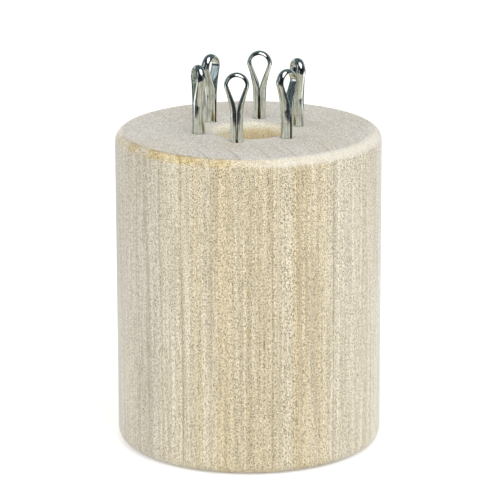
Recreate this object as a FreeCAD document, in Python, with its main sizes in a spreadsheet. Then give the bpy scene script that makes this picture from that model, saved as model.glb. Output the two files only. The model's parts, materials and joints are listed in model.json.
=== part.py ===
"""A spool knitter for i-cord: a turned wooden block with a ring of split pins.

The knitter is held in one hand. Yarn is looped round the eyed pins that stand in a ring on the
block's top, and the finished cord leaves downwards through the bore in the middle.

The block is one turned piece of pale hardwood, grain upright, with rounded arrises, a through
bore and one drilled blind hole for each pin. Each pin is a steel split pin: a half-round wire
bent back on itself into an eye, so that its two legs lie flat to flat and make a round shank.
Its legs are driven into their hole, and one leg is longer than the other, as on every such pin.

Sizes are in millimetres and degrees. The origin is the middle of the block's foot, +Z is up
along the bore, and the first pin stands on +X.
"""

import FreeCAD, Part

import math
import os

import Sketcher
from FreeCAD import Placement, Rotation, Vector

PARTS_FOLDER = "parts"

# Driving sizes: alias, value, what it is
SIZES = [
    ("block_diameter", 63.5, "turned block, 2 1/2 in across"),
    ("block_height", 76.2, "turned block, 3 in tall"),
    ("rim_round", 2.4, "radius on the block's upper outer arris"),
    ("foot_round", 2.8, "radius on the block's lower outer arris"),
    ("bore_diameter", 15.9, "through bore for the cord, 5/8 in drill"),
    ("bore_round", 2.4, "radius on both mouths of the bore"),
    ("pin_count", 6, "split pins in the ring"),
    ("pin_circle_diameter", 24.6, "circle that the pins' axes stand on"),
    ("pin_hole_gap", 0.01, "how far the drilled hole is drawn clear of the shank that it grips"),
    ("pin_hole_spare_depth", 1.5, "drilled depth past the longer leg's tip"),
    ("drill_point_angle", 118, "included angle of the twist drill's point"),
    ("wire_width", 2.9, "width of the half-round wire, and diameter of the closed shank"),
    ("leg_gap", 0.16, "slit between the two flats of a closed shank"),
    ("eye_wire_thickness", 0.9, "thickness of the wire where it is drawn thin round the eye"),
    ("eye_wire_width", 2.3, "width of the wire where it is drawn thin round the eye"),
    ("eye_opening", 4.1, "clear width inside the eye"),
    ("eye_centre_height", 13.5, "eye's centre above the top of the block"),
    ("neck_bend_radius", 8.0, "bend of the flats where the legs part below the eye"),
    ("limb_angle", 21, "lean of the straight limbs between neck and eye"),
    ("long_leg_depth", 24.2, "longer leg's reach below the top of the block"),
    ("short_leg_depth", 22.2, "shorter leg's reach below the top of the block"),
]

# How far each pin was left turned out of line with the ring when it was driven in, in degrees,
# counter-clockwise from above. The list is read round and round if there are more pins.
PIN_TWISTS = [4, 8, 9, 2, 13, -4]

CROSSWISE = 90  # a pin that isn't turned has the opening of its eye facing the bore


def make_sizes_sheet(doc):
    """The spreadsheet that holds every driving size under its alias."""
    sheet = doc.addObject("Spreadsheet::Sheet", "Sizes")
    for row, (alias, value, note) in enumerate(SIZES, start=1):
        sheet.set(f"A{row}", alias)
        sheet.set(f"B{row}", str(value))
        sheet.setAlias(f"B{row}", alias)
        sheet.set(f"C{row}", note)
    doc.recompute()
    return sheet


def origin_feature(body, role):
    """One of the body's own origin planes or axes, found by its role."""
    return next(item for item in body.Origin.OriginFeatures if item.Role == role)


def new_body(doc, label):
    """An empty body whose label names its file."""
    body = doc.addObject("PartDesign::Body", label)
    body.Label = label
    return body


def new_sketch(body, name, role="XY_Plane"):
    """A sketch on one of the body's own origin planes."""
    sketch = body.newObject("Sketcher::SketchObject", name)
    sketch.AttachmentSupport = [(origin_feature(body, role), "")]
    sketch.MapMode = "FlatFace"
    return sketch


def size_constraint(sketch, name, constraint, expression):
    """Adds a dimension to the sketch and binds it to the sheet."""
    index = sketch.addConstraint(constraint)
    sketch.renameConstraint(index, name)
    sketch.setExpression(f"Constraints.{name}", expression)


def measured_constraint(sketch, name, constraint):
    """Adds a dimension that only reports what the sketch's other sizes give."""
    index = sketch.addConstraint(constraint)
    sketch.setDriving(index, False)
    sketch.renameConstraint(index, name)


def circle_sketch(body, name, radius_expression, start_radius):
    """A sketch of one circle about the body's axis."""
    sketch = new_sketch(body, name)
    circle = sketch.addGeometry(Part.Circle(Vector(), Vector(0, 0, 1), start_radius))
    sketch.addConstraint(Sketcher.Constraint("Coincident", circle, 3, -1, 1))
    size_constraint(
        sketch,
        "radius",
        Sketcher.Constraint("Radius", circle, start_radius),
        radius_expression,
    )
    return sketch


def round_edges_at(feature, radius, heights):
    """Names of the feature's circular edges with this radius at these heights."""
    names = []
    for number, edge in enumerate(feature.Shape.Edges, start=1):
        curve = edge.Curve
        if not isinstance(curve, Part.Circle):
            continue
        if not math.isclose(curve.Radius, radius, abs_tol=1e-6):
            continue
        if any(math.isclose(curve.Center.z, height, abs_tol=1e-6) for height in heights):
            names.append(f"Edge{number}")
    return names


def rounded(body, name, base, radius, heights, fillet_expression):
    """A fillet on the base feature's circular edges of this radius at these heights."""
    fillet = body.newObject("PartDesign::Fillet", name)
    fillet.Base = (base, round_edges_at(base, radius, heights))
    fillet.setExpression("Radius", fillet_expression)
    body.Document.recompute()
    return fillet


def make_block(doc, sheet):
    """The turned wooden block, with its bore, its rounded arrises and the drilled pin holes."""
    body = new_body(doc, "wooden_block")
    block_radius = sheet.block_diameter / 2
    bore_radius = sheet.bore_diameter / 2
    both_ends = [0, sheet.block_height]

    blank = body.newObject("PartDesign::Pad", "Blank")
    blank.Profile = circle_sketch(body, "BlankCircle", "Sizes.block_diameter / 2", block_radius)
    blank.setExpression("Length", "Sizes.block_height")
    doc.recompute()

    bore = body.newObject("PartDesign::Pocket", "CordBore")
    bore.Profile = circle_sketch(body, "BoreCircle", "Sizes.bore_diameter / 2", bore_radius)
    bore.Type = "ThroughAll"
    bore.Reversed = True
    doc.recompute()

    rim = rounded(body, "RimRound", bore, block_radius, both_ends[1:], "Sizes.rim_round")
    foot = rounded(body, "FootRound", rim, block_radius, both_ends[:1], "Sizes.foot_round")
    rounded(body, "BoreRound", foot, bore_radius, both_ends, "Sizes.bore_round")

    drill_pin_holes(body, sheet)
    return body


def drill_pin_holes(body, sheet):
    """One drilled hole in the block's top, repeated round the bore."""
    centre = new_sketch(body, "PinHoleCentre")
    centre.setExpression("AttachmentOffset.Base.z", "Sizes.block_height")
    hole_radius = sheet.wire_width / 2 + sheet.pin_hole_gap
    offset = sheet.pin_circle_diameter / 2
    circle = centre.addGeometry(
        Part.Circle(Vector(offset, 0, 0), Vector(0, 0, 1), hole_radius)
    )
    centre.addConstraint(Sketcher.Constraint("PointOnObject", circle, 3, -1))
    size_constraint(
        centre,
        "radius",
        Sketcher.Constraint("Radius", circle, hole_radius),
        "Sizes.wire_width / 2 + Sizes.pin_hole_gap",
    )
    size_constraint(
        centre,
        "offset",
        Sketcher.Constraint("DistanceX", -1, 1, circle, 3, offset),
        "Sizes.pin_circle_diameter / 2",
    )
    body.Document.recompute()

    hole = body.newObject("PartDesign::Hole", "PinHole")
    hole.Profile = centre
    hole.DepthType = "Dimension"
    hole.DrillPoint = "Angled"
    hole.setExpression("Diameter", "Sizes.wire_width + 2 * Sizes.pin_hole_gap")
    hole.setExpression("Depth", "Sizes.long_leg_depth + Sizes.pin_hole_spare_depth")
    hole.setExpression("DrillPointAngle", "Sizes.drill_point_angle")
    body.Document.recompute()

    ring = body.newObject("PartDesign::PolarPattern", "PinHoleRing")
    ring.Originals = [hole]
    ring.Axis = (origin_feature(body, "Z_Axis"), [""])
    ring.Angle = 360
    ring.setExpression("Occurrences", "Sizes.pin_count")
    body.Tip = ring
    body.Document.recompute()


def half_round(sketch, flat_x, crown_x, half_flat):
    """Draws a half-round wire's section: an upright flat, and an arc that swells towards +X."""
    low, high = Vector(flat_x, -half_flat, 0), Vector(flat_x, half_flat, 0)
    arc = sketch.addGeometry(Part.Arc(low, Vector(crown_x, 0, 0), high))
    flat = sketch.addGeometry(Part.LineSegment(high, low))
    sketch.addConstraint(
        [
            Sketcher.Constraint("Coincident", arc, 2, flat, 1),
            Sketcher.Constraint("Coincident", flat, 2, arc, 1),
            Sketcher.Constraint("Vertical", flat),
        ]
    )
    return arc, flat


def leg_section(body, sheet, height_expression, name):
    """Section of one leg of the closed shank, whose round side follows the shank's circle."""
    sketch = new_sketch(body, name)
    sketch.setExpression("AttachmentOffset.Base.z", height_expression)
    radius = sheet.wire_width / 2
    inset = sheet.leg_gap / 2
    arc, flat = half_round(sketch, inset, radius, math.sqrt(radius**2 - inset**2))
    sketch.addConstraint(Sketcher.Constraint("Coincident", arc, 3, -1, 1))
    size_constraint(
        sketch, "radius", Sketcher.Constraint("Radius", arc, radius), "Sizes.wire_width / 2"
    )
    size_constraint(
        sketch,
        "inset",
        Sketcher.Constraint("DistanceX", -1, 1, flat, 1, inset),
        "Sizes.leg_gap / 2",
    )
    body.Document.recompute()
    return sketch


def eye_section(body, sheet):
    """Section of the thinned wire where a limb runs into the eye, square to the limb."""
    sketch = new_sketch(body, "EyeSection")
    sketch.AttachmentOffset = Placement(Vector(), Rotation(Vector(0, 1, 0), 1))
    sketch.setExpression(
        "AttachmentOffset.Base.x", "Sizes.eye_opening / 2 * cos(Sizes.limb_angle * 1 deg)"
    )
    sketch.setExpression(
        "AttachmentOffset.Base.z",
        "Sizes.eye_centre_height - Sizes.eye_opening / 2 * sin(Sizes.limb_angle * 1 deg)",
    )
    sketch.setExpression("AttachmentOffset.Rotation.Angle", "Sizes.limb_angle * 1 deg")
    thickness = sheet.eye_wire_thickness
    half_flat = sheet.eye_wire_width / 2
    arc, flat = half_round(sketch, 0, thickness, half_flat)
    crown = sketch.addGeometry(Part.Point(Vector(thickness, 0, 0)), True)
    sketch.addConstraint(
        [
            Sketcher.Constraint("PointOnObject", arc, 3, -1),
            Sketcher.Constraint("PointOnObject", flat, 1, -2),
            Sketcher.Constraint("PointOnObject", crown, 1, arc),
            Sketcher.Constraint("PointOnObject", crown, 1, -1),
        ]
    )
    size_constraint(
        sketch,
        "thickness",
        Sketcher.Constraint("DistanceX", -1, 1, crown, 1, thickness),
        "Sizes.eye_wire_thickness",
    )
    size_constraint(
        sketch,
        "half_flat",
        Sketcher.Constraint("DistanceY", -1, 1, flat, 1, half_flat),
        "Sizes.eye_wire_width / 2",
    )
    add_eye_axis(sketch, sheet, half_flat)
    body.Document.recompute()
    return sketch


def add_eye_axis(sketch, sheet, half_flat):
    """A construction line through the eye's centre, which the eye is bent about."""
    reach = sheet.eye_opening / 2
    axis = sketch.addGeometry(
        Part.LineSegment(Vector(-reach, -half_flat, 0), Vector(-reach, half_flat, 0)), True
    )
    sketch.addConstraint(Sketcher.Constraint("Symmetric", axis, 1, axis, 2, -1))
    size_constraint(
        sketch,
        "eye_radius",
        Sketcher.Constraint("DistanceX", axis, 1, -1, 1, reach),
        "Sizes.eye_opening / 2",
    )
    size_constraint(
        sketch,
        "axis_length",
        Sketcher.Constraint("DistanceY", axis, 1, axis, 2, 2 * half_flat),
        "Sizes.eye_wire_width",
    )


def limb_path(body, sheet):
    """The line that a leg's flat follows above the straight shank: neck bend, then the limb."""
    sketch = new_sketch(body, "LimbPath", "XZ_Plane")
    lean = math.radians(sheet.limb_angle)
    bend = sheet.neck_bend_radius
    inset = sheet.leg_gap / 2
    eye_radius = sheet.eye_opening / 2
    top = Vector(
        eye_radius * math.cos(lean), sheet.eye_centre_height - eye_radius * math.sin(lean), 0
    )
    run = (top.x - inset - bend * (1 - math.cos(lean))) / math.sin(lean)
    knee = top - Vector(math.sin(lean), math.cos(lean), 0) * run
    centre = Vector(inset + bend, knee.y - bend * math.sin(lean), 0)

    neck = sketch.addGeometry(
        Part.ArcOfCircle(
            Part.Circle(centre, Vector(0, 0, 1), bend), math.pi - lean, math.pi
        )
    )
    limb = sketch.addGeometry(Part.LineSegment(knee, top))
    sketch.addConstraint(
        [
            Sketcher.Constraint("Tangent", neck, 1, limb, 1),
            Sketcher.Constraint("Horizontal", neck, 2, neck, 3),
        ]
    )
    size_constraint(
        sketch,
        "bend",
        Sketcher.Constraint("Radius", neck, bend),
        "Sizes.neck_bend_radius",
    )
    size_constraint(
        sketch,
        "inset",
        Sketcher.Constraint("DistanceX", -1, 1, neck, 2, inset),
        "Sizes.leg_gap / 2",
    )
    size_constraint(
        sketch,
        "top_x",
        Sketcher.Constraint("DistanceX", -1, 1, limb, 2, top.x),
        "Sizes.eye_opening / 2 * cos(Sizes.limb_angle * 1 deg)",
    )
    size_constraint(
        sketch,
        "top_z",
        Sketcher.Constraint("DistanceY", -1, 1, limb, 2, top.y),
        "Sizes.eye_centre_height - Sizes.eye_opening / 2 * sin(Sizes.limb_angle * 1 deg)",
    )
    size_constraint(
        sketch,
        "rise",
        Sketcher.Constraint("Angle", limb, math.pi / 2 - lean),
        "90 deg - Sizes.limb_angle * 1 deg",
    )
    measured_constraint(
        sketch, "neck_height", Sketcher.Constraint("DistanceY", -1, 1, neck, 2, centre.y)
    )
    body.Document.recompute()
    return sketch


def make_split_pin(doc, sheet, index):
    """One split pin, from its legs' tips in the hole to the eye that stands over the block."""
    body = new_body(doc, f"split_pin_{index + 1}")
    path = limb_path(body, sheet)

    tip = leg_section(body, sheet, "-Sizes.long_leg_depth", "TipSection")
    leg = body.newObject("PartDesign::Pad", "Leg")
    leg.Profile = tip
    leg.setExpression(
        "Length", f"Sizes.long_leg_depth * 1 mm + {path.Name}.Constraints.neck_height"
    )
    doc.recompute()

    neck = leg_section(body, sheet, f"{path.Name}.Constraints.neck_height", "NeckSection")
    eye_sketch = eye_section(body, sheet)
    limb = body.newObject("PartDesign::AdditivePipe", "Limb")
    limb.Profile = neck
    limb.Spine = (path, ["Edge1", "Edge2"])
    limb.Transformation = "Multisection"
    limb.Sections = [(eye_sketch, [""])]
    doc.recompute()

    other_side = body.newObject("PartDesign::Mirrored", "OtherSide")
    other_side.Originals = [leg, limb]
    other_side.MirrorPlane = (origin_feature(body, "YZ_Plane"), [""])
    body.Tip = other_side
    doc.recompute()

    eye = body.newObject("PartDesign::Revolution", "Eye")
    eye.Profile = eye_sketch
    eye.ReferenceAxis = (eye_sketch, ["Axis0"])
    eye.Reversed = True
    eye.setExpression("Angle", "180 deg + 2 * Sizes.limb_angle * 1 deg")
    doc.recompute()

    shorten_leg(body, sheet)
    stand_in_ring(body, sheet, index)
    return body


def shorten_leg(body, sheet):
    """Cuts the leg on the -X side back to its own length."""
    sketch = new_sketch(body, "ShortLegTip")
    sketch.setExpression("AttachmentOffset.Base.z", "-Sizes.short_leg_depth")
    side = sheet.wire_width
    corners = [
        Vector(-side, -side / 2, 0),
        Vector(0, -side / 2, 0),
        Vector(0, side / 2, 0),
        Vector(-side, side / 2, 0),
    ]
    edges = [
        sketch.addGeometry(Part.LineSegment(start, end))
        for start, end in zip(corners, corners[1:] + corners[:1])
    ]
    for edge, following in zip(edges, edges[1:] + edges[:1]):
        sketch.addConstraint(Sketcher.Constraint("Coincident", edge, 2, following, 1))
    sketch.addConstraint(
        [
            Sketcher.Constraint("Horizontal", edges[0]),
            Sketcher.Constraint("Vertical", edges[1]),
            Sketcher.Constraint("Vertical", edges[3]),
            Sketcher.Constraint("Symmetric", edges[1], 1, edges[1], 2, -1, 1),
        ]
    )
    for name, edge in (("width", edges[0]), ("depth", edges[1])):
        size_constraint(
            sketch, name, Sketcher.Constraint("Distance", edge, side), "Sizes.wire_width"
        )
    body.Document.recompute()

    cut = body.newObject("PartDesign::Pocket", "ShortLegCut")
    cut.Profile = sketch
    cut.setExpression("Length", "Sizes.long_leg_depth - Sizes.short_leg_depth")
    body.Document.recompute()


def stand_in_ring(body, sheet, index):
    """Stands the pin on the block's top at its place in the ring, turned as it was driven."""
    twist = PIN_TWISTS[index % len(PIN_TWISTS)]
    bearing = f"{index} * 360 deg / Sizes.pin_count"
    body.setExpression("Placement.Base.x", f"Sizes.pin_circle_diameter / 2 * cos({bearing})")
    body.setExpression("Placement.Base.y", f"Sizes.pin_circle_diameter / 2 * sin({bearing})")
    body.setExpression("Placement.Base.z", "Sizes.block_height")
    body.setExpression("Placement.Rotation.Angle", f"{bearing} + {CROSSWISE + twist} deg")
    body.Document.recompute()


def check_document(doc, bodies):
    """Stops if any object failed, or any sub-part isn't one valid solid."""
    for item in doc.Objects:
        if "Invalid" in item.State or "Error" in item.State:
            raise RuntimeError(f"{item.Label} failed: {item.State}")
    for body in bodies:
        shape = body.Shape
        if shape.isNull() or not shape.isValid() or len(shape.Solids) != 1:
            raise RuntimeError(f"{body.Label} isn't one valid solid")


def main():
    """Builds the document and writes each sub-part to its own file."""
    doc = FreeCAD.newDocument("SpoolKnitter")
    sheet = make_sizes_sheet(doc)
    bodies = [make_block(doc, sheet)]
    bodies += [make_split_pin(doc, sheet, index) for index in range(int(sheet.pin_count))]
    doc.recompute()
    check_document(doc, bodies)

    os.makedirs(PARTS_FOLDER, exist_ok=True)
    for body in bodies:
        body.Shape.exportStep(os.path.join(PARTS_FOLDER, f"{body.Label}.step"))
        box = body.Shape.BoundBox
        print(f"{body.Label}: volume {body.Shape.Volume:.2f} mm3, z {box.ZMin:.2f} to {box.ZMax:.2f}")


main()
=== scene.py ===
"""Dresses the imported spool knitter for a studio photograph.

A turned block of pale hardwood stands on a pale floor. Six bright split pins stand in a ring
round the bore in its top. Sizes in the classes are millimetres and degrees, and the meshes are
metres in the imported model's own frame: foot on the floor, +Z up along the bore.
"""

import json
import logging
import math
from dataclasses import dataclass
from enum import Enum

import bmesh
import bpy
from mathutils import Matrix, Vector


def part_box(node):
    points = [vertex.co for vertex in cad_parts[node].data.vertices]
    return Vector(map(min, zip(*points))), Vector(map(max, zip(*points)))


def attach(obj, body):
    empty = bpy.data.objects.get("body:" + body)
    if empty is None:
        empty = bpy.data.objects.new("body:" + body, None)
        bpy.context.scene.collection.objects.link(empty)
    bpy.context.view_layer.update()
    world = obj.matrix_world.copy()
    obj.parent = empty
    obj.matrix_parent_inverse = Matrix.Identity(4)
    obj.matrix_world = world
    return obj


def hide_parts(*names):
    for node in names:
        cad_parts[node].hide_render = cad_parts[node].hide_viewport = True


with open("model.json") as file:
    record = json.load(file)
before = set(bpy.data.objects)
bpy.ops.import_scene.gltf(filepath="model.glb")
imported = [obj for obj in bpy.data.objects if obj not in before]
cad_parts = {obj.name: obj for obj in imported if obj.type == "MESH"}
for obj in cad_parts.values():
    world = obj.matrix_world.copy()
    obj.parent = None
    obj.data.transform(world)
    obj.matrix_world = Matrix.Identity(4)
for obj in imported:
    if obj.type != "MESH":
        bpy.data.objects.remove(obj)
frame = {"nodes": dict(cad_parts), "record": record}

MM = 0.001
PER_MM = 1 / MM
ROOT = "root"
Z_AXIS = Vector((0, 0, 1))

log = logging.getLogger("spool_knitter")

Colour = tuple[float, float, float, float]
Socket = bpy.types.NodeSocket


class Slot(Enum):
    """The record's material slots."""

    WOOD = "hardwood"
    STEEL = "plated_steel"


def screen_colour(red: int, green: int, blue: int) -> Colour:
    """Turns a colour as a screen shows it into the linear colour that a shader takes.

    Args:
        red: Display red, 0 to 255.
        green: Display green, 0 to 255.
        blue: Display blue, 0 to 255.

    Returns:
        The linear colour, with an alpha of 1.
    """

    def linear(level: int) -> float:
        """One channel, by the sRGB curve."""
        share = level / 255
        return share / 12.92 if share <= 0.04045 else ((share + 0.055) / 1.055) ** 2.4

    return (linear(red), linear(green), linear(blue), 1.0)


class Board:
    """A node tree, with short calls that add a node, set its inputs and hand back its output."""

    def __init__(self, tree: bpy.types.NodeTree) -> None:
        """Starts on an empty tree."""
        self.tree = tree
        self.tree.nodes.clear()

    def node(self, kind: str, inputs: dict, **settings: object) -> bpy.types.Node:
        """Adds one node.

        Args:
            kind: The node's type, without the leading ShaderNode.
            inputs: Values or sockets, by the input's name or index.
            settings: Properties of the node itself.

        Returns:
            The new node.
        """
        node = self.tree.nodes.new(f"ShaderNode{kind}")
        for name, setting in settings.items():
            setattr(node, name, setting)
        for key, given in inputs.items():
            if isinstance(given, Socket):
                self.tree.links.new(given, node.inputs[key])
            else:
                node.inputs[key].default_value = given
        return node

    def math(self, operation: str, first: object, second: object = 0.0) -> Socket:
        """The result of one arithmetic step on one or two numbers."""
        return self.node("Math", {0: first, 1: second}, operation=operation).outputs[0]

    def vector(self, operation: str, first: object, second: object) -> Socket:
        """The vector that one arithmetic step on two vectors gives."""
        step = self.node("VectorMath", {0: first, 1: second}, operation=operation)
        return step.outputs["Vector"]

    def spread(self, value: Socket, low: float, high: float, to: tuple = (0, 1)) -> Socket:
        """Stretches a number's range smoothly.

        Args:
            value: The number.
            low: Where the new range starts.
            high: Where the new range ends.
            to: What those two ends become.

        Returns:
            The number in its new range, held within it.
        """
        ends = {"Value": value, "From Min": low, "From Max": high, "To Min": to[0], "To Max": to[1]}
        return self.node("MapRange", ends, interpolation_type="SMOOTHSTEP").outputs[0]

    def noise(self, place: Socket, scale: float, detail: float, rough: float = 0.5) -> Socket:
        """Smooth noise between 0 and 1, at a number of lumps per millimetre."""
        inputs = {"Vector": place, "Scale": scale, "Detail": detail, "Roughness": rough}
        return self.node("TexNoise", inputs).outputs["Fac"]

    def band_noise(self, distance: Socket, scale: float, detail: float, rough: float) -> Socket:
        """Noise between 0 and 1 that changes only with one distance, as layers do."""
        inputs = {"W": distance, "Scale": scale, "Detail": detail, "Roughness": rough}
        return self.node("TexNoise", inputs, noise_dimensions="1D").outputs["Fac"]

    def tinted(self, colour: object, share: Socket, tints: tuple[Colour, Colour]) -> Socket:
        """A colour multiplied by a tint between two: the first at 0, the second at 1."""
        return self.blend(1.0, colour, self.blend(share, *tints), "MULTIPLY")

    def across(self, place: Socket, bearing: float) -> Socket:
        """How far the point lies from the block's axis towards a bearing in degrees from +X."""
        turn = math.radians(bearing)
        towards = (math.cos(turn), math.sin(turn), 0.0)
        inputs = {0: place, 1: towards}
        return self.node("VectorMath", inputs, operation="DOT_PRODUCT").outputs["Value"]

    def product(self, *shares: object) -> Socket:
        """The product of several numbers."""
        result = shares[0]
        for share in shares[1:]:
            result = self.math("MULTIPLY", result, share)
        return result

    def grains(self, place: Socket, reach: tuple[float, float, float]) -> bpy.types.Node:
        """Scattered grains, whose cells are this many millimetres long each way."""
        squeeze = tuple(1 / length for length in reach)
        cells = {"Vector": self.vector("MULTIPLY", place, squeeze), "Scale": 1.0}
        return self.node("TexVoronoi", cells)

    def blend(self, share: object, first: object, second: object, way: str = "MIX") -> Socket:
        """A mix of two colours."""
        inputs = {0: share, 6: first, 7: second}
        return self.node("Mix", inputs, data_type="RGBA", blend_type=way).outputs[2]

    def place_mm(self) -> Socket:
        """The point on the piece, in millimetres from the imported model's origin."""
        here = self.node("TexCoord", {}).outputs["Object"]
        return self.vector("MULTIPLY", here, (PER_MM, PER_MM, PER_MM))

    def finish(self, shader: Socket, output: str = "OutputMaterial") -> None:
        """Sends a shader to the tree's output."""
        self.node(output, {"Surface": shader})


@dataclass(frozen=True)
class TurnedHardwood:
    """Pale close-grained hardwood with upright fibres, turned, smoothed with sandpaper and left bare.

    The log's pith lies far out on -X, so the growth rings cross the block as nearly flat sheets
    that face X. They show as thin upright lines on the sides that face Y, and as broad soft
    bands on the sides that face X. A reach or a depth is where a mark starts and where it is full.
    """

    top_height: float
    pale: Colour = screen_colour(228, 220, 198)
    golden: Colour = screen_colour(218, 203, 168)
    greyed: Colour = screen_colour(205, 197, 179)
    end_grain: Colour = screen_colour(212, 207, 196)
    end_grain_warm: Colour = screen_colour(209, 200, 182)
    # painted shade, browned, along the top edge of the rim's rounding on the side away from the
    # softbox; partly the rim's own browner wood
    rim_edge_brown_shade: Colour = screen_colour(160, 132, 88)
    # painted light: the softbox's highlight on the rim, and a paler ring round the bore's mouth that
    # makes up for the shade of the pins
    painted_light: Colour = screen_colour(240, 235, 222)
    ring_line: Colour = screen_colour(146, 124, 86)
    pore: Colour = screen_colour(184, 162, 116)
    ray: Colour = screen_colour(238, 231, 212)
    side_speckle: tuple[Colour, Colour] = ((0.2, 0.13, 0.0, 1.0), (1.3, 1.33, 1.4, 1.0))
    end_speckle: tuple[Colour, Colour] = ((0.64, 0.62, 0.57, 1.0), (1.3, 1.32, 1.38, 1.0))
    streak_tints: tuple[Colour, Colour] = ((0.86, 0.84, 0.8, 1.0), (1.09, 1.09, 1.11, 1.0))
    # partly the rim's own browner wood, partly painted shade on the rim's side away from the softbox
    rim_brown_shade_tints: tuple[Colour, Colour] = ((1.0, 1.0, 1.0, 1.0), (0.86, 0.76, 0.5, 1.0))
    # painted light that lifts and warms the bore's wall, standing in for the softbox's light and the
    # light bounced inside the bore
    wall_light_tints: tuple[Colour, Colour] = ((1.34, 1.38, 1.38, 1.0), (1.4, 1.33, 1.14, 1.0))
    # painted shade, deep in the bore and on its near wall
    deep_shade_tints: tuple[Colour, Colour] = ((1.0, 1.0, 1.0, 1.0), (0.42, 0.38, 0.31, 1.0))
    pith: tuple[float, float, float] = (-150.0, -20.0, 0.0)
    bands_per_mm: float = 0.22
    golden_band: float = -7.0
    golden_reach: tuple[float, float] = (24.0, 8.0)
    greyed_band: float = -30.7
    greyed_reach: tuple[float, float] = (5.0, 0.0)
    dark_rings: tuple[float, ...] = (-24.4, -4.9, 10.5)
    faint_rings: tuple[float, ...] = (-30.2, -18.6, -11.8, 1.5)
    line_reach: tuple[float, float] = (0.22, 0.03)
    fibres_per_mm: float = 5.5
    fibre_stretch: tuple[float, float, float] = (1.0, 1.0, 0.65)
    streaks_per_mm: float = 1.2
    streak_stretch: tuple[float, float, float] = (1.0, 1.0, 0.025)
    ray_size: tuple[float, float, float] = (4.0, 1.0, 0.55)
    dash_size: tuple[float, float, float] = (0.35, 0.35, 2.2)
    stipple_per_mm: float = 3.0
    front_bearing: float = -90.0
    front_reach: tuple[float, float] = (13.0, 24.0)
    rim_inside: float = 28.6
    # where the painted highlight lies on the rim, on the softbox's side
    rim_highlight_bearing: float = -60.0
    rim_highlight_reach: tuple[float, float] = (17.0, 29.0)
    # where the rim's painted shade and browner wood lie, away from the softbox
    rim_shade_bearing: float = -150.0
    rim_shade_reach: tuple[float, float] = (22.0, 29.0)
    bore_reach: float = 8.5
    mouth_reach: float = 12.0
    # where the bore's painted light takes over, and how it slants across the bore
    wall_light_depth: tuple[float, float] = (1.6, 3.6)
    wall_light_slant: float = 0.22
    # where the painted shade deep in the bore starts and is full
    deep_shade_depth: tuple[float, float] = (4.5, 9.5)
    # where the painted shade falls on the near wall, which faces away from the softbox
    near_wall_shade_bearing: float = -118.0
    near_wall_shade_reach: tuple[float, float] = (0.0, 6.0)
    near_wall_shade_depth: tuple[float, float] = (0.8, 2.4)
    sheen: float = 0.7

    def make(self) -> bpy.types.Material:
        """The wood, as one solid figure that the turned surface cuts through."""
        material = bpy.data.materials.new("turned_hardwood")
        material.use_nodes = True
        board = Board(material.node_tree)
        place = board.place_mm()
        rings = self._ring_distance(board, place)
        up = self._facing_up(board)
        drawn = board.vector("MULTIPLY", place, self.fibre_stretch)
        fibres = board.noise(drawn, self.fibres_per_mm, 2.0, 0.6)
        long_grain = self._long_grain(board, place, rings, fibres)
        cut_ends = self._cut_ends(board, place, rings)
        colour = board.blend(self._cut_share(board, place, up), long_grain, cut_ends)
        colour = self._paint_rim_light_and_shade(board, place, up, colour)
        colour = self._bore(board, place, colour)
        bump = board.node("Bump", {"Height": fibres, "Strength": 0.4, "Distance": 0.04 * MM})
        skin = {
            "Base Color": colour,
            "Roughness": board.spread(fibres, 0.25, 0.75, (0.42, 0.6)),
            "IOR": 1.45,
            "Sheen Weight": self.sheen,
            "Sheen Roughness": 0.35,
            "Normal": bump.outputs["Normal"],
        }
        board.finish(board.node("BsdfPrincipled", skin).outputs["BSDF"])
        return material

    def _ring_distance(self, board: Board, place: Socket) -> Socket:
        """How far the point lies from the log's pith, in millimetres past the block's axis."""
        flat = board.vector("MULTIPLY", place, (1.0, 1.0, 0.0))
        from_pith = board.vector("SUBTRACT", flat, self.pith)
        length = board.node("VectorMath", {0: from_pith}, operation="LENGTH").outputs["Value"]
        wander = board.noise(board.vector("MULTIPLY", place, (1.0, 1.0, 0.25)), 0.05, 2.0)
        wander = board.math("MULTIPLY", board.math("SUBTRACT", wander, 0.5), 1.0)
        axis_length = Vector(self.pith).length
        return board.math("ADD", board.math("SUBTRACT", length, axis_length), wander)

    def _facing_up(self, board: Board) -> Socket:
        """1 on the top, -1 on the foot, and 0 where the surface follows the fibres."""
        normal = board.node("TexCoord", {}).outputs["Normal"]
        return board.node("SeparateXYZ", {0: normal}).outputs["Z"]

    def _cut_share(self, board: Board, place: Socket, up: Socket) -> Socket:
        """1 on the ends and in the bore's mouths, and 0 where the surface follows the fibres."""
        slope = board.math("ABSOLUTE", up)
        near_bore = board.spread(self._off_axis(board, place), self.mouth_reach + 1, self.mouth_reach)
        mouth = board.product(near_bore, board.spread(slope, 0.0, 0.5))
        return board.math("MAXIMUM", board.spread(slope, 0.9, 0.99), mouth)

    def _near_band(
        self, board: Board, rings: Socket, band: float, reach: tuple[float, float], to: tuple
    ) -> Socket:
        """A number that is the first of two far from a band of rings, and the second inside it."""
        away = board.math("ABSOLUTE", board.math("SUBTRACT", rings, band))
        return board.spread(away, *reach, to)

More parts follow.
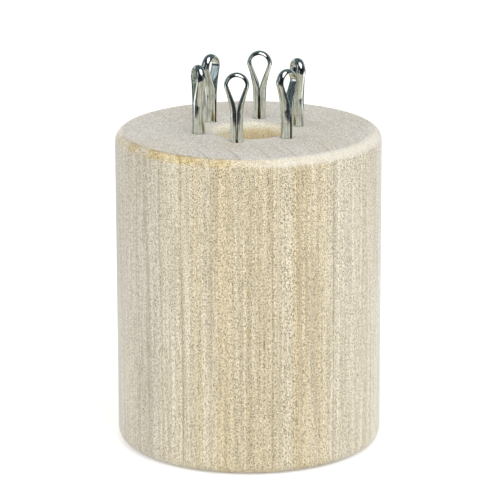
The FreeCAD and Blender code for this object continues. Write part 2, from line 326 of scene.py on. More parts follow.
    def _long_grain(self, board: Board, place: Socket, rings: Socket, fibres: Socket) -> Socket:
        """The colour along the fibres: soft bands, upright dashes, ray flecks and ring lines."""
        bands = board.band_noise(rings, self.bands_per_mm, 3.0, 0.6)
        bands = board.spread(bands, 0.34, 0.68, (-0.35, 0.4))
        heart = self._near_band(board, rings, self.golden_band, self.golden_reach, (0.1, 0.75))
        colour = board.blend(board.math("ADD", heart, bands), self.pale, self.golden)
        greyed = self._near_band(board, rings, self.greyed_band, self.greyed_reach, (0, 0.85))
        colour = board.blend(greyed, colour, self.greyed)
        rays = board.grains(place, self.ray_size).outputs["Distance"]
        colour = board.blend(board.spread(rays, 0.42, 0.12, (0, 0.32)), colour, self.ray)
        dashes = board.grains(place, self.dash_size).outputs["Distance"]
        colour = board.blend(board.spread(dashes, 0.3, 0.1, (0, 0.5)), colour, self.pore)
        colour = board.tinted(colour, board.spread(fibres, 0.3, 0.57), self.side_speckle)
        drawn = board.vector("MULTIPLY", place, self.streak_stretch)
        streaks = board.noise(drawn, self.streaks_per_mm, 3.0, 0.6)
        colour = board.tinted(colour, board.spread(streaks, 0.34, 0.66), self.streak_tints)
        broken = board.noise(board.vector("MULTIPLY", place, (0.2, 0.2, 1.0)), 0.2, 3.0, 0.7)
        broken = board.spread(broken, 0.35, 0.62, (0.1, 0.5))
        colour = self._ring_lines(board, rings, self.dark_rings, broken, colour)
        faint = board.product(broken, 0.6)
        return self._ring_lines(board, rings, self.faint_rings, faint, colour)

    def _cut_ends(self, board: Board, place: Socket, rings: Socket) -> Socket:
        """The colour across the fibres: greyer, stippled, with ring lines by the front edge."""
        warmth = board.noise(place, 0.07, 3.0, 0.6)
        colour = board.blend(board.spread(warmth, 0.4, 0.7), self.end_grain, self.end_grain_warm)
        stipple = board.noise(place, self.stipple_per_mm, 3.0, 0.7)
        colour = board.tinted(colour, board.spread(stipple, 0.42, 0.6), self.end_speckle)
        arcs = board.band_noise(rings, 0.35, 3.0, 0.6)
        colour = board.tinted(colour, board.spread(arcs, 0.3, 0.7, (0.3, 0.65)), self.streak_tints)
        front = board.across(place, self.front_bearing)
        front = board.spread(front, *self.front_reach, (0.12, 0.85))
        lines = self.dark_rings + self.faint_rings
        return self._ring_lines(board, rings, lines, front, colour)

    def _ring_lines(
        self, board: Board, rings: Socket, lines: tuple[float, ...], strength: Socket, colour: Socket
    ) -> Socket:
        """Draws the few growth rings that show as fine dark lines.

        Args:
            board: The wood's nodes.
            rings: The point's distance past the block's axis, away from the pith.
            lines: Where the dark rings lie, on the same measure.
            strength: How strongly they show.
            colour: What they are drawn on.

        Returns:
            The colour with the lines.
        """
        for line in lines:
            away = board.math("ABSOLUTE", board.math("SUBTRACT", rings, line))
            mark = board.math("MULTIPLY", board.spread(away, *self.line_reach), strength)
            colour = board.blend(mark, colour, self.ring_line)
        return colour

    def _paint_rim_light_and_shade(self, board: Board, place: Socket, up: Socket, colour: Socket) -> Socket:
        """Paints the softbox's highlight on the rounded rim on its side, and darkens and browns the rim
        on the far side: partly its own browner wood, partly painted shade.
        """
        on_rim = board.spread(self._off_axis(board, place), self.rim_inside, self.rim_inside + 1)
        slant = board.spread(up, 0.12, 0.45)
        # painted highlight on the rim, where the softbox shines on it
        white = board.across(place, self.rim_highlight_bearing)
        white = board.spread(white, *self.rim_highlight_reach, (0, 0.6))
        colour = board.blend(board.product(on_rim, slant, white), colour, self.painted_light)
        # painted shade on the rim away from the softbox, browned and in patches; partly the rim's own
        # browner wood
        side = board.spread(board.across(place, self.rim_shade_bearing), *self.rim_shade_reach)
        patches = board.spread(board.noise(place, 0.25, 4.0, 0.7), 0.35, 0.65, (0.2, 1))
        browned_shade = board.product(on_rim, slant, board.spread(up, 0.999, 0.97), side, patches)
        colour = board.tinted(colour, browned_shade, self.rim_brown_shade_tints)
        # a darker browned line at the top of the rounding on that side, of the same painted shade
        edge = board.product(board.spread(up, 0.9, 0.96), board.spread(up, 0.9995, 0.985), 0.6)
        return board.blend(board.product(on_rim, edge, side, patches), colour, self.rim_edge_brown_shade)

    def _bore(self, board: Board, place: Socket, colour: Socket) -> Socket:
        """Paints light round the mouth and on the bore's wall, and painted shade deeper down and on the
        near wall.
        """
        out = self._off_axis(board, place)
        height = board.node("SeparateXYZ", {0: place}).outputs["Z"]
        depth = board.math("SUBTRACT", self.top_height, height)
        slanted = board.product(board.across(place, 0.0), self.wall_light_slant)
        slanted = board.math("ADD", depth, slanted)
        # painted light: the wall is paled and lifted, cooler near the mouth and warmer deeper down and
        # towards +X
        wall = board.blend(0.45, colour, self.pale)
        wall = board.tinted(wall, board.spread(slanted, *self.wall_light_depth), self.wall_light_tints)
        # painted shade, darker deeper down the bore
        wall = board.tinted(wall, board.spread(depth, *self.deep_shade_depth), self.deep_shade_tints)
        # painted shade on the near wall, which faces away from the softbox
        browned_shade = board.spread(board.across(place, self.near_wall_shade_bearing), *self.near_wall_shade_reach)
        browned_shade = board.product(browned_shade, board.spread(depth, *self.near_wall_shade_depth))
        wall = board.tinted(wall, browned_shade, self.deep_shade_tints)
        # painted light: a paler ring round the mouth, making up for the shade that the pins cast there
        mouth_light = board.spread(out, self.mouth_reach + 4, self.mouth_reach - 1, (0, 0.35))
        colour = board.blend(mouth_light, colour, self.painted_light)
        return board.blend(board.spread(out, self.bore_reach + 1, self.bore_reach), colour, wall)

    def _off_axis(self, board: Board, place: Socket) -> Socket:
        """How far the point lies from the bore's axis."""
        flat = board.vector("MULTIPLY", place, (1.0, 1.0, 0.0))
        return board.node("VectorMath", {0: flat}, operation="LENGTH").outputs["Value"]


@dataclass(frozen=True)
class BrightZinc:
    """Zinc plating on drawn steel wire: bright, a little cloudy, with fine lines along the wire.

    Between the legs a painted shade darkens the inner flats, up to a height over the top of the block.
    """

    top_height: float
    metal: Colour = screen_colour(238, 244, 238)
    dull: Colour = screen_colour(208, 217, 208)
    # painted shade on the legs' inner flats, in the gap between them
    slit_shade: Colour = screen_colour(30, 30, 28)
    slit_reach: tuple[float, float] = (6.5, 5.0)
    drawn_tints: tuple[Colour, Colour] = ((0.56, 0.56, 0.53, 1.0), (1.1, 1.1, 1.1, 1.0))
    streaks_across: float = 2.2
    lines_across: float = 7.0
    line_length: float = 6.0

    def make(self) -> bpy.types.Material:
        """The plating, whose lines follow the wire by the piece's own attribute."""
        material = bpy.data.materials.new("bright_zinc")
        material.use_nodes = True
        board = Board(material.node_tree)
        place = board.place_mm()
        wire = board.node("Attribute", {}, attribute_name=SplitPin.WIRE_PLACE).outputs["Vector"]
        lines = self._along_wire(board, wire, self.lines_across)
        streaks = self._along_wire(board, wire, self.streaks_across)
        height = board.node("SeparateXYZ", {0: place}).outputs["Z"]
        above = board.math("SUBTRACT", height, self.top_height)
        inner = board.node("SeparateXYZ", {0: wire}).outputs["Z"]
        # painted shade in the gap between the legs
        slit_shade = board.product(inner, board.spread(above, *self.slit_reach))
        clouds = board.noise(place, 0.9, 3.0, 0.6)
        rough = board.math(
            "ADD",
            board.spread(clouds, 0.3, 0.7, (0.08, 0.15)),
            board.spread(lines, 0.3, 0.8, (0.0, 0.06)),
        )
        relief = board.math("ADD", lines, board.math("MULTIPLY", clouds, 0.8))
        bump = board.node("Bump", {"Height": relief, "Strength": 0.3, "Distance": 0.012 * MM})
        colour = board.blend(board.spread(clouds, 0.35, 0.75, (0, 0.7)), self.metal, self.dull)
        colour = board.tinted(colour, board.spread(streaks, 0.36, 0.56), self.drawn_tints)
        skin = {
            "Base Color": board.blend(slit_shade, colour, self.slit_shade),
            "Metallic": 1.0,
            "Roughness": rough,
            "Normal": bump.outputs["Normal"],
        }
        board.finish(board.node("BsdfPrincipled", skin).outputs["BSDF"])
        return material

    def _along_wire(self, board: Board, wire: Socket, across: float) -> Socket:
        """Noise drawn out along the wire, at a number of lines per millimetre across it."""
        squeeze = (across, 1 / self.line_length, 0.0)
        return board.noise(board.vector("MULTIPLY", wire, squeeze), 1.0, 3.0, 0.6)


def finished_piece(name: str, bm: bmesh.types.BMesh, material: bpy.types.Material) -> bpy.types.Object:
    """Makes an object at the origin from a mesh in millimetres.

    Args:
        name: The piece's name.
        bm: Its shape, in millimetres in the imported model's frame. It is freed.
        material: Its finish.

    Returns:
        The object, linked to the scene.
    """
    bmesh.ops.scale(bm, vec=(MM, MM, MM), verts=bm.verts)
    mesh = bpy.data.meshes.new(name)
    bm.to_mesh(mesh)
    bm.free()
    mesh.materials.append(material)
    piece = bpy.data.objects.new(name, mesh)
    bpy.context.scene.collection.objects.link(piece)
    return piece


def shade(piece: bpy.types.Object, sharp_from: float) -> None:
    """Smooths a piece's faces, but for arrises over an angle given in degrees."""
    piece.data.shade_smooth()
    piece.data.set_sharp_from_angle(angle=math.radians(sharp_from))


def stand_for(piece: bpy.types.Object, node: str) -> None:
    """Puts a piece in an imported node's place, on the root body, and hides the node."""
    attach(piece, ROOT)
    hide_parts(node)
    log.info("%s: %d faces, for %s", piece.name, len(piece.data.polygons), node)


@dataclass
class TurnedBlock:
    """The wooden block, turned on its bore's axis, with a drilled hole for every pin."""

    node: str = "wooden_block"
    bore_round: float = 2.4
    rim_round: float = 2.4
    foot_round: float = 2.8
    support: float = 0.12
    hole_radius: float = 1.46
    hole_depth: float = 25.7
    hole_mouth: float = 0.2
    drill_point: float = 118.0
    turns: int = 288
    round_steps: int = 14
    hole_steps: int = 64

    def __post_init__(self) -> None:
        """Reads the block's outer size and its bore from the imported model."""
        low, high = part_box(self.node)
        self.radius = (high[0] - low[0]) / 2 * PER_MM
        self.height = high[2] * PER_MM
        bore = next(m for m in frame["record"]["mounts"] if m["name"] == "cord_bore")
        self.bore_radius = bore["dims"]["r_mm"]

    def build(self, material: bpy.types.Material, pin_axes: list[Vector]) -> bpy.types.Object:
        """Turns the block and drills it.

        Args:
            material: The wood.
            pin_axes: Where the pins' axes meet the block's top, in millimetres.

        Returns:
            The finished piece.
        """
        piece = finished_piece("turned_block", self._turned(), material)
        self._drill(piece, material, pin_axes)
        shade(piece, 35)
        stand_for(piece, self.node)
        return piece

    def _turned(self) -> bmesh.types.BMesh:
        """The block's section, rounded at its four corners and spun round the bore's axis."""
        bm = bmesh.new()
        wall = self.radius - self.bore_radius
        bmesh.ops.create_grid(bm, x_segments=1, y_segments=1, size=0.5)
        bmesh.ops.scale(bm, vec=(wall, self.height, 1), verts=bm.verts)
        middle = (self.bore_radius + wall / 2, self.height / 2, 0)
        bmesh.ops.translate(bm, vec=middle, verts=bm.verts)
        bmesh.ops.rotate(bm, matrix=Matrix.Rotation(math.radians(90), 3, "X"), verts=bm.verts)
        for outer, top, radius in (
            (False, False, self.bore_round),
            (False, True, self.bore_round),
            (True, True, self.rim_round),
            (True, False, self.foot_round),
        ):
            self._round_corner(bm, outer, top, radius)
        self._add_support(bm)
        bmesh.ops.delete(bm, geom=list(bm.faces), context="FACES_ONLY")
        bmesh.ops.spin(
            bm,
            geom=list(bm.edges),
            cent=(0, 0, 0),
            axis=Z_AXIS,
            dvec=(0, 0, 0),
            angle=2 * math.pi,
            steps=self.turns,
            use_merge=True,
            use_duplicate=False,
        )
        bmesh.ops.remove_doubles(bm, verts=bm.verts, dist=1e-5)
        bmesh.ops.recalc_face_normals(bm, faces=bm.faces)
        return bm

    def _round_corner(self, bm: bmesh.types.BMesh, outer: bool, top: bool, radius: float) -> None:
        """Rounds the section's corner on one side and at one end."""
        x = self.radius if outer else self.bore_radius
        z = self.height if top else 0.0
        corner = min(bm.verts, key=lambda vert: (vert.co - Vector((x, 0, z))).length)
        bmesh.ops.bevel(
            bm,
            geom=[corner],
            offset=radius,
            segments=self.round_steps,
            profile=0.5,
            affect="VERTICES",
            material=-1,
        )

    def _add_support(self, bm: bmesh.types.BMesh) -> None:
        """Cuts the section close to where each rounding starts, so that flats shade flat."""
        cuts = [
            ((self.bore_radius + self.bore_round + self.support, 0, 0), (1, 0, 0)),
            ((self.radius - self.rim_round - self.support, 0, 0), (1, 0, 0)),
            ((self.radius - self.foot_round - self.support, 0, 0), (1, 0, 0)),
            ((0, 0, self.height - self.rim_round - self.support), (0, 0, 1)),
            ((0, 0, self.foot_round + self.support), (0, 0, 1)),
        ]
        for point, normal in cuts:
            geom = list(bm.verts) + list(bm.edges) + list(bm.faces)
            bmesh.ops.bisect_plane(bm, geom=geom, plane_co=point, plane_no=normal)
        bmesh.ops.dissolve_faces(bm, faces=bm.faces)

    def _drill(self, piece: bpy.types.Object, material: bpy.types.Material, axes: list[Vector]) -> None:
        """Cuts the pin holes out of the turned block."""
        bm = bmesh.new()
        for axis in axes:
            self._add_drill(bm, axis)
        drills = finished_piece("drills", bm, material)
        cut = piece.modifiers.new("drilled", "BOOLEAN")
        cut.operation = "DIFFERENCE"
        cut.solver = "EXACT"
        cut.object = drills
        whole = piece.evaluated_get(bpy.context.evaluated_depsgraph_get())
        drilled = bpy.data.meshes.new_from_object(whole)
        piece.modifiers.clear()
        piece.data = drilled
        bpy.data.objects.remove(drills)

    def _add_drill(self, bm: bmesh.types.BMesh, axis: Vector) -> None:
        """A drill's shape: point, body, and the slight flare that it leaves at the mouth."""
        point = self.hole_radius / math.tan(math.radians(self.drill_point / 2))
        levels = [
            (-self.hole_depth - point, 0.0),
            (-self.hole_depth, self.hole_radius),
            (-self.hole_mouth, self.hole_radius),
            (self.hole_mouth, self.hole_radius + 2 * self.hole_mouth),
        ]
        made = bmesh.ops.create_circle(
            bm, segments=self.hole_steps, radius=self.hole_radius, cap_ends=False
        )
        ring = made["verts"]
        start = Matrix.Translation(axis + Z_AXIS * levels[1][0])
        bmesh.ops.transform(bm, matrix=start, verts=ring)
        rim = list(dict.fromkeys(edge for vert in ring for edge in vert.link_edges))
        tip = extruded(bm, rim)
        bmesh.ops.pointmerge(bm, verts=tip_verts(tip), merge_co=axis + Z_AXIS * levels[0][0])
        edges = rim
        for (low, low_radius), (high, high_radius) in zip(levels[1:], levels[2:]):
            edges = extruded(bm, edges)
            verts = tip_verts(edges)
            middle = Matrix.Translation(axis + Z_AXIS * low)
            grow = Matrix.Diagonal((high_radius / low_radius, high_radius / low_radius, 1, 1))
            lift = Matrix.Translation(Z_AXIS * (high - low))
            bmesh.ops.transform(bm, matrix=lift @ middle @ grow @ middle.inverted(), verts=verts)
        bmesh.ops.contextual_create(bm, geom=edges)
        bmesh.ops.recalc_face_normals(bm, faces=bm.faces)


def extruded(bm: bmesh.types.BMesh, edges: list) -> list:
    """Extrudes a loop of edges in place.

    Args:
        bm: The mesh.
        edges: The loop.

    Returns:
        The new loop's edges.
    """
    grown = bmesh.ops.extrude_edge_only(bm, edges=edges)["geom"]
    verts = {item for item in grown if isinstance(item, bmesh.types.BMVert)}
    return [
        item
        for item in grown
        if isinstance(item, bmesh.types.BMEdge) and verts.issuperset(item.verts)
    ]


def tip_verts(edges: list) -> list:
    """The vertices of a loop of edges, each one once, in the edges' own order."""
    return list(dict.fromkeys(vert for edge in edges for vert in edge.verts))


@dataclass
class SplitPin:
    """A split pin: half-round wire bent back into an eye, its flats facing each other."""

    WIRE_PLACE = "wire_place"

    node: str
    wire_width: float = 2.9
    leg_gap: float = 0.1
    eye_wire_thickness: float = 0.9
    eye_wire_width: float = 2.3
    eye_opening: float = 4.1
    eye_centre_height: float = 13.5
    neck_bend_radius: float = 8.0
    limb_angle: float = 21.0
    long_leg_depth: float = 24.2
    short_leg_depth: float = 22.2
    swell: float = 0.08
    taper_from: float = 0.9
    corner_round: float = 0.28
    slit_reach: float = 0.2
    section_steps: int = 48
    corner_steps: int = 4
    leg_steps: int = 3
    shank_steps: int = 5
    neck_steps: int = 12
    limb_steps: int = 8
    eye_steps: int = 30

    def __post_init__(self) -> None:
        """Reads the pin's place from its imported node."""
        low, high = (Vector(corner) * PER_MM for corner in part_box(self.node))
        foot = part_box(TurnedBlock.node)[1][2] * PER_MM
        self.axis = Vector(((low.x + high.x) / 2, (low.y + high.y) / 2, foot))
        self.bearing = self._eye_bearing()

    def _eye_bearing(self) -> float:
        """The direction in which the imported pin's eye spreads, in radians from +X."""
        long_way = Vector((0.0, 0.0))
        for vert in frame["nodes"][self.node].data.vertices:
            out = (vert.co * PER_MM - self.axis).to_2d()
            twice = 2 * math.atan2(out.y, out.x)
            long_way += Vector((math.cos(twice), math.sin(twice))) * out.length_squared
        return math.atan2(long_way.y, long_way.x) / 2

    def build(self, material: bpy.types.Material) -> bpy.types.Object:
        """Bends the wire and stands the pin in its hole.

        Args:
            material: The plating.

        Returns:
            The finished piece.
        """
        bm = bmesh.new()
        for depth, mirror in ((self.long_leg_depth, 1), (self.short_leg_depth, -1)):
            self._bend_half(bm, depth, mirror)
        bmesh.ops.remove_doubles(bm, verts=bm.verts, dist=1e-4)
        bmesh.ops.recalc_face_normals(bm, faces=bm.faces)
        stand = Matrix.Translation(self.axis) @ Matrix.Rotation(self.bearing, 4, "Z")
        bmesh.ops.transform(bm, matrix=stand, verts=bm.verts)
        piece = finished_piece(f"pin_{self.node[-1]}", bm, material)
        shade(piece, 50)
        stand_for(piece, self.node)
        return piece

    def _section(self, bm: bmesh.types.BMesh) -> bmesh.types.BMFace:
        """The half-round wire's section, its flat on the YZ plane and its round side to +X."""
        before = set(bm.verts)
        bmesh.ops.create_circle(
            bm, segments=self.section_steps, radius=self.wire_width / 2, cap_ends=True
        )
        fresh = [vert for vert in bm.verts if vert not in before]
        face = fresh[0].link_faces[0]
        inset = self.leg_gap / 2
        geom = fresh + list(face.edges) + [face]
        bmesh.ops.bisect_plane(
            bm, geom=geom, plane_co=(inset, 0, 0), plane_no=(1, 0, 0), clear_inner=True
        )
        fresh = [vert for vert in bm.verts if vert not in before]
        bmesh.ops.translate(bm, vec=(-inset, 0, 0), verts=fresh)
        corners = sorted(fresh, key=lambda vert: vert.co.x)[:2]
        bmesh.ops.bevel(
            bm,
            geom=corners,
            offset=self.corner_round,
            segments=self.corner_steps,
            profile=0.5,
            affect="VERTICES",
            material=-1,
        )
        fresh = [vert for vert in bm.verts if vert not in before]
        return fresh[0].link_faces[0]

    def _stations(self, depth: float) -> list[Matrix]:
        """Where the wire's section stands, from the leg's tip to the top of the eye.

        Args:
            depth: The leg's reach below the top of the block.

        Returns:
            The section's matrix at each place: its shift, its turn and how far it is thinned.
        """
        lean = math.radians(self.limb_angle)
        eye = self.eye_opening / 2
        inset = self.leg_gap / 2
        bend = self.neck_bend_radius
        run = (eye * math.cos(lean) - inset - bend * (1 - math.cos(lean))) / math.sin(lean)
        knee_height = self.eye_centre_height - eye * math.sin(lean) - run * math.cos(lean)
        neck = knee_height - bend * math.sin(lean)
        thinned_by = bend * lean + run

        stations = []
        for step in range(self.leg_steps):
            stations.append(self._station(inset, -depth * (1 - step / self.leg_steps), 0.0))
        for step in range(self.shank_steps):
            share = step / self.shank_steps
            stations.append(self._station(inset, neck * share, 0.0, self.swell * share))
        for step in range(self.neck_steps):
            turn = lean * step / self.neck_steps
            x = inset + bend * (1 - math.cos(turn))
            z = neck + bend * math.sin(turn)
            thinned = self._thinned(bend * turn, thinned_by)
            stations.append(self._station(x, z, turn, self.swell, thinned))
        for step in range(self.limb_steps):
            left = run * (1 - step / self.limb_steps)
            x = eye * math.cos(lean) - left * math.sin(lean)
            z = knee_height + (run - left) * math.cos(lean)
            thinned = self._thinned(thinned_by - left, thinned_by)
            stations.append(self._station(x, z, lean, self.swell, thinned))
        for step in range(self.eye_steps + 1):
            turn = lean - (lean + math.pi / 2) * step / self.eye_steps
            x = eye * math.cos(turn)
            z = self.eye_centre_height - eye * math.sin(turn)
            stations.append(self._station(x, z, turn, self.swell, 1.0))
        return stations

    def _thinned(self, gone: float, thinned_by: float) -> float:
        """How far the wire is drawn down, 0 to 1, at a length past the start of the neck."""
        share = max(gone - self.taper_from, 0) / (thinned_by - self.taper_from)
        return share * share * (3 - 2 * share)

    def _station(
        self, x: float, z: float, turn: float, swell: float = 0.0, thinned: float = 0.0
    ) -> Matrix:
        """The section's matrix at one place along the wire.

        Args:
            x: How far its flat stands from the shank's middle.
            z: Its height over the top of the block.
            turn: How far the wire leans out there, in radians.
            swell: How much thicker the leg is than in its hole.
            thinned: How far the wire is drawn down, from 0 in the leg to 1 round the eye.

        Returns:
            The matrix that takes the section of the leg there.
        """
        leg = (self.wire_width - self.leg_gap) / 2
        thickness = leg + swell + (self.eye_wire_thickness - leg - swell) * thinned
        width = self.wire_width + (self.eye_wire_width - self.wire_width) * thinned
        place = Matrix.Translation((x, 0, z)) @ Matrix.Rotation(turn, 4, "Y")
        return place @ Matrix.Diagonal((thickness / leg, width / self.wire_width, 1, 1))

    def _bend_half(self, bm: bmesh.types.BMesh, depth: float, mirror: int) -> None:
        """Sweeps the section along one leg, up its limb and half-way round the eye.

        Args:
            bm: The mesh to add to.
            depth: The leg's reach below the top of the block.
            mirror: 1 for the leg on +X, -1 for the other.
        """
        layer = bm.verts.layers.float_vector.get(self.WIRE_PLACE)
        if layer is None:
            layer = bm.verts.layers.float_vector.new(self.WIRE_PLACE)
        before = set(bm.verts)
        section = self._section(bm)
        edges = list(section.edges)
        for vert in section.verts:
            around = vert.co.y + vert.co.x + mirror * self.wire_width
            # Z flags the inner flat, where the plating paints the shade between the legs
            vert[layer] = Vector((around, 0, vert.co.x < self.slit_reach))
        stations = self._stations(depth)
        bmesh.ops.transform(bm, matrix=stations[0], verts=section.verts)
        length = 0.0
        for last, following in zip(stations, stations[1:]):
            edges = extruded(bm, edges)
            verts = tip_verts(edges)
            length += (following.translation - last.translation).length
            bmesh.ops.transform(bm, matrix=following @ last.inverted(), verts=verts)
            for vert in verts:
                vert[layer] = Vector((vert[layer].x, length, vert[layer].z))
        fresh = [vert for vert in bm.verts if vert not in before]
        bmesh.ops.scale(bm, vec=(mirror, 1, 1), verts=fresh)


@dataclass
class Studio:
    """The pale floor, the plain soft light and the camera."""

    bearing: float = -17.2
    camera_out: float = 776.3
    camera_height: float = 262.9
    aim_height: float = 46.35
    aim_side: float = 0.3
    camera_roll: float = -0.158
    lens: float = 241.58
    floor_size: float = 6000.0
    floor_colour: Colour = screen_colour(232, 232, 230)
    floor_lift: float = 0.42
    world_level: float = 0.67
    softbox_side: float = 200.0
    softbox_toward: float = 350.0
    softbox_up: float = 700.0
    softbox_width: float = 580.0
    softbox_length: float = 900.0
    softbox_watts: float = 2.9
    fill_side: float = -620.0
    fill_toward: float = 120.0
    fill_up: float = 380.0
    fill_size: float = 600.0
    fill_watts: float = 0.8
    room_radius: float = 1500.0
    room_dark: Colour = (0.02, 0.018, 0.026, 1.0)
    room_slate: Colour = (0.1, 0.125, 0.15, 1.0)
    room_pale: Colour = (0.6, 0.64, 0.63, 1.0)
    pale_reach: tuple[float, float] = (900.0, 500.0)
    dark_front_from: float = 50.0
    dark_back_from: float = 120.0
    panel_bearing: float = 66.0
    panel_rise: float = 22.0
    panel_out: float = 1200.0
    panel_width: float = 520.0
    panel_height: float = 780.0
    panel_colour: Colour = (0.5, 0.58, 0.64, 1.0)

    def point(self, side: float, toward: float, up: float) -> Vector:
        """A place in the studio, in metres.

        Args:
            side: Millimetres to the camera's right of the block's axis.
            toward: Millimetres from the axis towards the camera.
            up: Millimetres above the floor.

        Returns:
            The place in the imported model's frame.
        """
        turn = math.radians(self.bearing)
        right = Vector((math.cos(turn), math.sin(turn), 0))
        front = Vector((math.sin(turn), -math.cos(turn), 0))
        return (right * side + front * toward + Z_AXIS * up) * MM

    def aimed(self, place: Vector, target: Vector) -> Matrix:
        """The matrix of a camera or a lamp at one place that looks at another."""
        look = (target - place).to_track_quat("-Z", "Y")
        return Matrix.LocRotScale(place, look, None)

    def set_camera(self) -> None:
        """Stands the camera where the photograph was taken from."""
        data = bpy.data.cameras.new("camera")
        data.lens = self.lens
        data.clip_start = 0.01
        data.clip_end = 20
        camera = bpy.data.objects.new("camera", data)
        bpy.context.scene.collection.objects.link(camera)
        place = self.point(0, self.camera_out, self.camera_height)
        target = self.point(self.aim_side, 0, self.aim_height)
        roll = Matrix.Rotation(math.radians(self.camera_roll), 4, "Z")
        camera.matrix_world = self.aimed(place, target) @ roll
        bpy.context.scene.camera = camera

    def lay_floor(self) -> None:
        """A pale floor, which the camera and reflections see lifted to white."""
        bm = bmesh.new()
        bmesh.ops.create_grid(bm, x_segments=1, y_segments=1, size=self.floor_size / 2)
        material = bpy.data.materials.new("pale_floor")
        material.use_nodes = True
        board = Board(material.node_tree)
        paper = board.node("BsdfDiffuse", {"Color": self.floor_colour}).outputs[0]
        glow = board.node("Emission", {"Color": (1, 1, 1, 1), "Strength": self.floor_lift}).outputs[0]
        lifted = board.node("AddShader", {0: paper, 1: glow}).outputs[0]
        seen = self._seen(board)
        board.finish(board.node("MixShader", {0: seen, 1: paper, 2: lifted}).outputs[0])
        floor = finished_piece("floor", bm, material)

    def _seen(self, board: Board) -> Socket:
        """1 for rays from the camera and in reflections, and 0 for the light that falls on things."""
        path = board.node("LightPath", {})
        shown = board.math("MAXIMUM", path.outputs["Is Camera Ray"], path.outputs["Is Glossy Ray"])
        return board.math("MAXIMUM", shown, path.outputs["Is Transmission Ray"])

    def light_world(self) -> None:
        """Even light from all round, in front of a white background."""
        world = bpy.data.worlds.new("studio")
        world.use_nodes = True
        bpy.context.scene.world = world
        board = Board(world.node_tree)
        soft = board.node("Background", {"Color": (1, 1, 1, 1), "Strength": self.world_level})
        white = board.node("Background", {"Color": (1, 1, 1, 1), "Strength": 1.0})
        shares = {0: self._seen(board), 1: soft.outputs[0], 2: white.outputs[0]}
        board.finish(board.node("MixShader", shares).outputs[0], "OutputWorld")

    def hang_lamps(self) -> None:
        """A large softbox on the camera's right, which the metal mirrors, and a fill on its left."""
        above = self.point(self.softbox_side, self.softbox_toward, self.softbox_up)
        size = (self.softbox_width, self.softbox_length)
        self._hang("softbox", above, size, self.softbox_watts)
        beside = self.point(self.fill_side, self.fill_toward, self.fill_up)
        fill = self._hang("fill", beside, (self.fill_size, self.fill_size), self.fill_watts)
        fill.visible_glossy = False

    def _hang(
        self, name: str, place: Vector, size: tuple[float, float], watts: float
    ) -> bpy.types.Object:
        """Hangs one soft lamp.

        Args:
            name: The lamp's name.
            place: Where it hangs, in metres.
            size: Its width and length in millimetres.
            watts: Its power.

        Returns:
            The lamp, aimed at the block.
        """
        data = bpy.data.lights.new(name, "AREA")
        data.shape = "ELLIPSE"
        data.size = size[0] * MM
        data.size_y = size[1] * MM
        data.energy = watts
        lamp = bpy.data.objects.new(name, data)
        bpy.context.scene.collection.objects.link(lamp)
        lamp.matrix_world = self.aimed(place, self.point(0, 0, self.aim_height))
        return lamp

    def darken_room(self) -> None:
        """Stands the room that only reflections see.

        Bright metal mirrors the unlit room on the camera's side, and that draws its dark bands.
        The floor away from the block is dark in front and behind, and the wall behind is pale.
        """
        cloth = self._room_cloth()
        bm = bmesh.new()
        bmesh.ops.create_icosphere(bm, subdivisions=4, radius=self.room_radius)
        self._keep_side(bm, self.point(0, 0, 1), Z_AXIS)
        self._only_in_reflections(finished_piece("dark_room", bm, cloth))
        for name, edge in (("front_floor", self.dark_front_from), ("back_floor", -self.dark_back_from)):
            bm = bmesh.new()
            bmesh.ops.create_grid(bm, x_segments=1, y_segments=1, size=self.room_radius)
            bmesh.ops.translate(bm, vec=(0, 0, 1), verts=bm.verts)
            self._keep_side(bm, self.point(0, edge, 0), self.point(0, edge, 0).normalized())
            self._only_in_reflections(finished_piece(name, bm, cloth))

    def stand_panel(self) -> None:
        """A pale panel to the camera's left, which the insides of the eyes mirror."""
        turn = math.radians(self.panel_bearing)
        rise = math.radians(self.panel_rise)
        side = -math.sin(turn) * math.cos(rise) * self.panel_out
        toward = math.cos(turn) * math.cos(rise) * self.panel_out
        place = self.point(side, toward, math.sin(rise) * self.panel_out)
        bm = bmesh.new()
        bmesh.ops.create_grid(bm, x_segments=1, y_segments=1, size=0.5)
        bmesh.ops.scale(bm, vec=(self.panel_width, self.panel_height, 1), verts=bm.verts)
        stand = self.aimed(place * PER_MM, Vector((0, 0, 0)))
        bmesh.ops.transform(bm, matrix=stand, verts=bm.verts)
        material = bpy.data.materials.new("pale_panel")
        material.use_nodes = True
        board = Board(material.node_tree)
        glow = {"Color": self.panel_colour, "Strength": 1.0}
        board.finish(board.node("Emission", glow).outputs[0])
        self._only_in_reflections(finished_piece("pale_panel", bm, material))

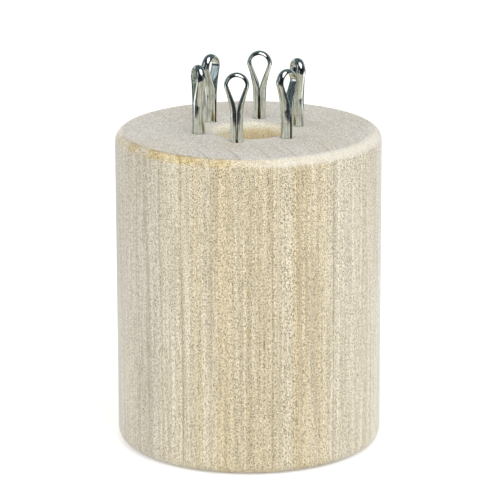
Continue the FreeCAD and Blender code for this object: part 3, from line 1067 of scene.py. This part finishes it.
    def _keep_side(self, bm: bmesh.types.BMesh, place: Vector, facing: Vector) -> None:
        """Cuts a mesh in millimetres at a place in metres, and keeps the side that is faced."""
        geom = list(bm.verts) + list(bm.edges) + list(bm.faces)
        bmesh.ops.bisect_plane(
            bm, geom=geom, plane_co=place * PER_MM, plane_no=facing, clear_inner=True
        )

    def _only_in_reflections(self, piece: bpy.types.Object) -> None:
        """Hides a part of the studio from all but reflections."""
        piece.visible_camera = False
        piece.visible_diffuse = False
        piece.visible_transmission = False
        piece.visible_volume_scatter = False
        piece.visible_shadow = False

    def _room_cloth(self) -> bpy.types.Material:
        """The room's colour: nearly black by the camera, slate at the sides, pale low behind."""
        material = bpy.data.materials.new("room_cloth")
        material.use_nodes = True
        board = Board(material.node_tree)
        place = board.place_mm()
        facing = self.point(0, PER_MM, 0) / self.room_radius
        along = board.node("VectorMath", {0: place, 1: facing}, operation="DOT_PRODUCT")
        along = along.outputs["Value"]
        height = board.node("SeparateXYZ", {0: place}).outputs["Z"]
        colour = board.blend(board.spread(along, -0.25, 0.35), self.room_slate, self.room_dark)
        low = board.spread(height, *self.pale_reach)
        behind = board.product(board.spread(along, -0.35, -0.6), low)
        colour = board.blend(behind, colour, self.room_pale)
        board.finish(board.node("Emission", {"Color": colour, "Strength": 1.0}).outputs[0])
        return material

    def set_up(self) -> None:
        """Sets the whole studio."""
        self.set_camera()
        self.lay_floor()
        self.light_world()
        self.hang_lamps()
        self.darken_room()
        self.stand_panel()


def main() -> None:
    """Builds the block, its pins and the studio, and reports each piece."""
    logging.basicConfig(level=logging.INFO, format="%(message)s")
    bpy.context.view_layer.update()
    block = TurnedBlock()
    wood = TurnedHardwood(block.height).make()
    zinc = BrightZinc(block.height).make()
    pins = [SplitPin(name) for name in sorted(frame["nodes"]) if name.startswith("split_pin")]
    for pin in pins:
        log.info("%s: eye bearing %.1f degrees", pin.node, math.degrees(pin.bearing))
        pin.build(zinc)
    block.build(wood, [pin.axis for pin in pins])
    Studio().set_up()
    bpy.context.scene.view_settings.view_transform = "Standard"


if __name__ == "__main__":
    main()
